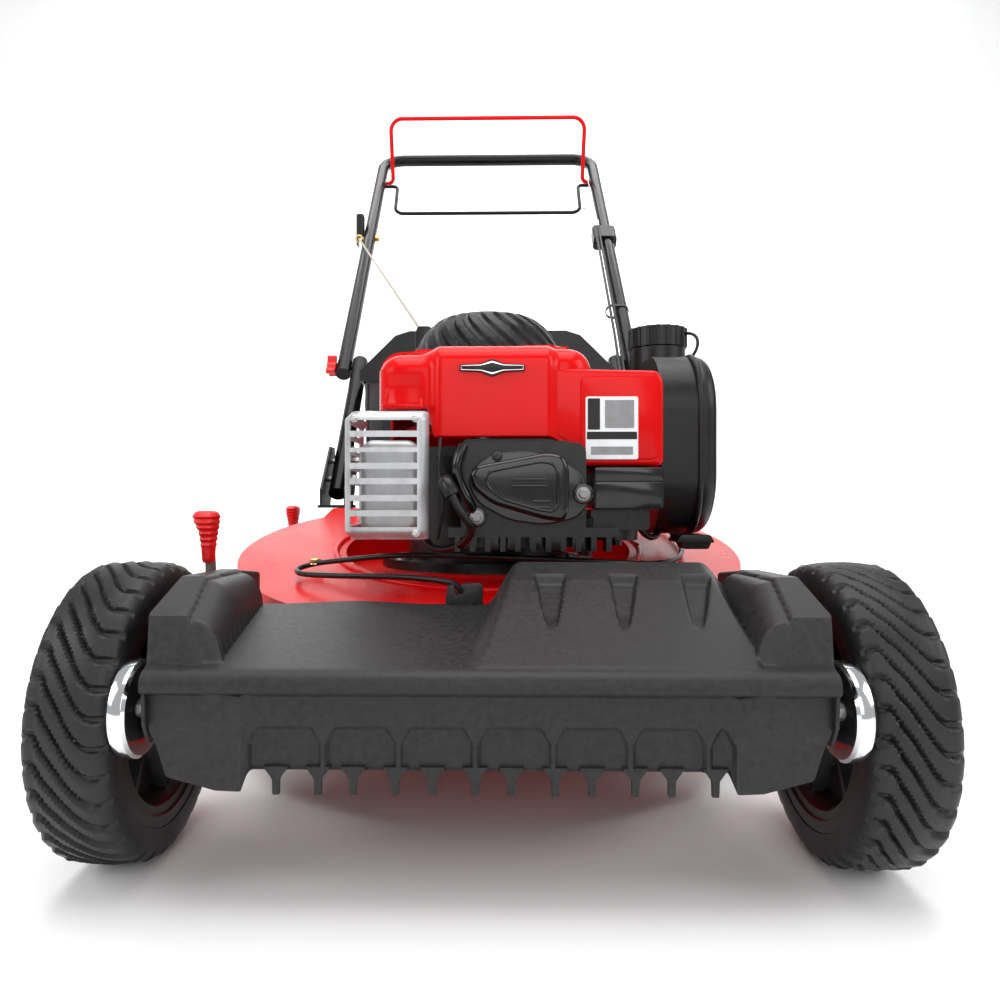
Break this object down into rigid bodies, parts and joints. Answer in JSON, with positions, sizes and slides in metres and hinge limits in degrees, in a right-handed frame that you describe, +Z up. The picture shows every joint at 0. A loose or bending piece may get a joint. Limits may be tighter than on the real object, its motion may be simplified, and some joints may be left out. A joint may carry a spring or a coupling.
{
  "type": "self-propelled lawn mower",
  "caption": "Walk-behind rotary mower: steel deck, vertical-shaft petrol engine, driven front wheels, rear grass bag, folding handle with two bails.",
  "frame": {"origin": "on the ground under the middle of the machine's bounding box", "axes": "+Y rearwards to the operator, +X to the operator's left, +Z up"},
  "size_m": [0.548, 1.4223, 1.0965],
  "materials": {
    "red_paint": "gloss enamel",
    "black_plastic": "fine moulded texture",
    "gloss_black": "gloss powder coat",
    "tyre_rubber": "moulded rubber",
    "chrome": "polished plating",
    "zinc_steel": "zinc plated",
    "cast_aluminium": "as cast",
    "black_metal": "satin black",
    "red_plastic": "moulded",
    "bag_fabric": "woven polyester",
    "rope_fibre": "braided",
    "brass": "yellow zinc",
    "silver_metal": "silver heat paint"
  },
  "bodies": {
    "chassis": {"deck_shell": "red_paint", "front_cover": "black_plastic", "shaft_covers": "chrome", "gear_case": "black_plastic", "drive_belt": "tyre_rubber", "crankcase": "black_metal", "engine_bolts": "zinc_steel", "cylinder_block": "black_metal", "cylinder_head": "black_metal", "valve_cover": "gloss_black", "spark_plug": "zinc_steel", "blower_housing": "red_paint", "recoil_cover": "black_plastic", "muffler": "silver_metal", "muffler_guard": "silver_metal", "air_cleaner_box": "black_plastic", "carburetor": "cast_aluminium", "fuel_tank": "black_plastic", "handle_brackets": "black_metal", "lower_handles": "gloss_black", "handle_bolts": "zinc_steel", "lower_cables": "black_plastic", "starter_rope": "rope_fibre", "rear_flap": "tyre_rubber"},
    "crank": {"crankshaft": "zinc_steel", "flywheel": "cast_aluminium", "drive_pulley": "zinc_steel", "blade_adapter": "zinc_steel", "blade": "black_metal", "blade_bolt": "zinc_steel"},
    "gear_input": {"input_pulley": "black_plastic"},
    "wheel_shaft": {"drive_shaft": "zinc_steel"},
    "front_height_arm": {"front_axle": "zinc_steel", "front_height_knob": "red_plastic", "front_wheel_nuts": "zinc_steel"},
    "rear_height_arm": {"rear_axle": "zinc_steel", "rear_height_knob": "red_plastic", "rear_wheel_nuts": "zinc_steel"},
    "folding_handle": {"upper_handle": "gloss_black", "rope_guide": "brass", "cable_clips": "black_plastic", "upper_cables": "black_plastic"},
    "clamp_knob_left": {"handle_knob_left": "red_plastic"},
    "clamp_knob_right": {"handle_knob_right": "red_plastic"},
    "engine_stop_bail": {"stop_bail": "red_paint"},
    "wheel_drive_bail": {"drive_bail": "gloss_black"},
    "pull_grip": {"starter_grip": "black_plastic"},
    "filler_cap": {"fuel_cap": "black_plastic"},
    "discharge_door": {"rear_door": "black_plastic"},
    "grass_bag": {"bag_body": "bag_fabric", "bag_top": "black_plastic", "bag_neck": "black_plastic"},
    "wheel_front_left": {"tyre_front_left": "tyre_rubber", "rim_front_left": "black_plastic"},
    "wheel_front_right": {"tyre_front_right": "tyre_rubber", "rim_front_right": "black_plastic"},
    "wheel_rear_left": {"tyre_rear_left": "tyre_rubber", "rim_rear_left": "black_plastic"},
    "wheel_rear_right": {"tyre_rear_right": "tyre_rubber", "rim_rear_right": "black_plastic"}
  },
  "joints": [
    {"name": "crank_spin", "type": "hinge", "parent": "chassis", "child": "crank", "pos_m": [0, -0.3085, 0.1], "axis": [0, 0, 1], "continuous": true},
    {"name": "gear_input_spin", "type": "hinge", "parent": "chassis", "child": "gear_input", "pos_m": [0.08, -0.6275, 0.141], "axis": [0, 0, 1], "continuous": true},
    {"name": "wheel_shaft_spin", "type": "hinge", "parent": "chassis", "child": "wheel_shaft", "pos_m": [0, -0.6825, 0.122], "axis": [1, 0, 0], "continuous": true},
    {"name": "front_height", "type": "hinge", "parent": "chassis", "child": "front_height_arm", "pos_m": [0, -0.5433, 0.112], "axis": [1, 0, 0], "range_deg": [-8, 35]},
    {"name": "rear_height", "type": "hinge", "parent": "chassis", "child": "rear_height_arm", "pos_m": [0, -0.0717, 0.112], "axis": [1, 0, 0], "range_deg": [-35, 8]},
    {"name": "wheel_front_left_spin", "type": "hinge", "parent": "front_height_arm", "child": "wheel_front_left", "pos_m": [0.247, -0.6025, 0.102], "axis": [1, 0, 0], "continuous": true},
    {"name": "wheel_front_right_spin", "type": "hinge", "parent": "front_height_arm", "child": "wheel_front_right", "pos_m": [-0.247, -0.6025, 0.102], "axis": [1, 0, 0], "continuous": true},
    {"name": "wheel_rear_left_spin", "type": "hinge", "parent": "rear_height_arm", "child": "wheel_rear_left", "pos_m": [0.247, -0.0125, 0.102], "axis": [1, 0, 0], "continuous": true},
    {"name": "wheel_rear_right_spin", "type": "hinge", "parent": "rear_height_arm", "child": "wheel_rear_right", "pos_m": [-0.247, -0.0125, 0.102], "axis": [1, 0, 0], "continuous": true},
    {"name": "handle_fold", "type": "hinge", "parent": "chassis", "child": "folding_handle", "pos_m": [0, 0.1725, 0.472], "axis": [1, 0, 0], "range_deg": [0, 130]},
    {"name": "clamp_knob_left_turn", "type": "hinge", "parent": "folding_handle", "child": "clamp_knob_left", "pos_m": [0.26, 0.1725, 0.472], "axis": [1, 0, 0], "continuous": true},
    {"name": "clamp_knob_right_turn", "type": "hinge", "parent": "folding_handle", "child": "clamp_knob_right", "pos_m": [-0.26, 0.1725, 0.472], "axis": [1, 0, 0], "continuous": true},
    {"name": "stop_bail_squeeze", "type": "hinge", "parent": "folding_handle", "child": "engine_stop_bail", "pos_m": [0, 0.6305, 0.97], "axis": [1, 0, 0], "range_deg": [-52, 0], "stiffness_Nm_per_rad": 0.8, "springref_deg": 28.65},
    {"name": "drive_bail_lift", "type": "hinge", "parent": "folding_handle", "child": "wheel_drive_bail", "pos_m": [0, 0.6204, 0.9589], "axis": [1, 0, 0], "range_deg": [-150, 0]},
    {"name": "starter_pull", "type": "slide", "parent": "folding_handle", "child": "pull_grip", "axis": [0, 0.9, 0.4359], "range_m": [0, 0.6], "stiffness_N_per_m": 30, "springref_m": -0.1},
    {"name": "fuel_cap_turn", "type": "hinge", "parent": "chassis", "child": "filler_cap", "pos_m": [0.178, -0.3265, 0.41], "axis": [0, 0, 1], "range_deg": [0, 100]},
    {"name": "rear_door_swing", "type": "hinge", "parent": "chassis", "child": "discharge_door", "pos_m": [0, 0.0035, 0.243], "axis": [1, 0, 0], "range_deg": [0, 30]},
    {"name": "bag_pull_off", "type": "slide", "parent": "chassis", "child": "grass_bag", "axis": [0, 1, 0], "range_m": [0, 0.35]}
  ],
  "couplings": [
    {"joint": "gear_input_spin", "follows": "crank_spin", "ratio": 0.7778}
  ]
}
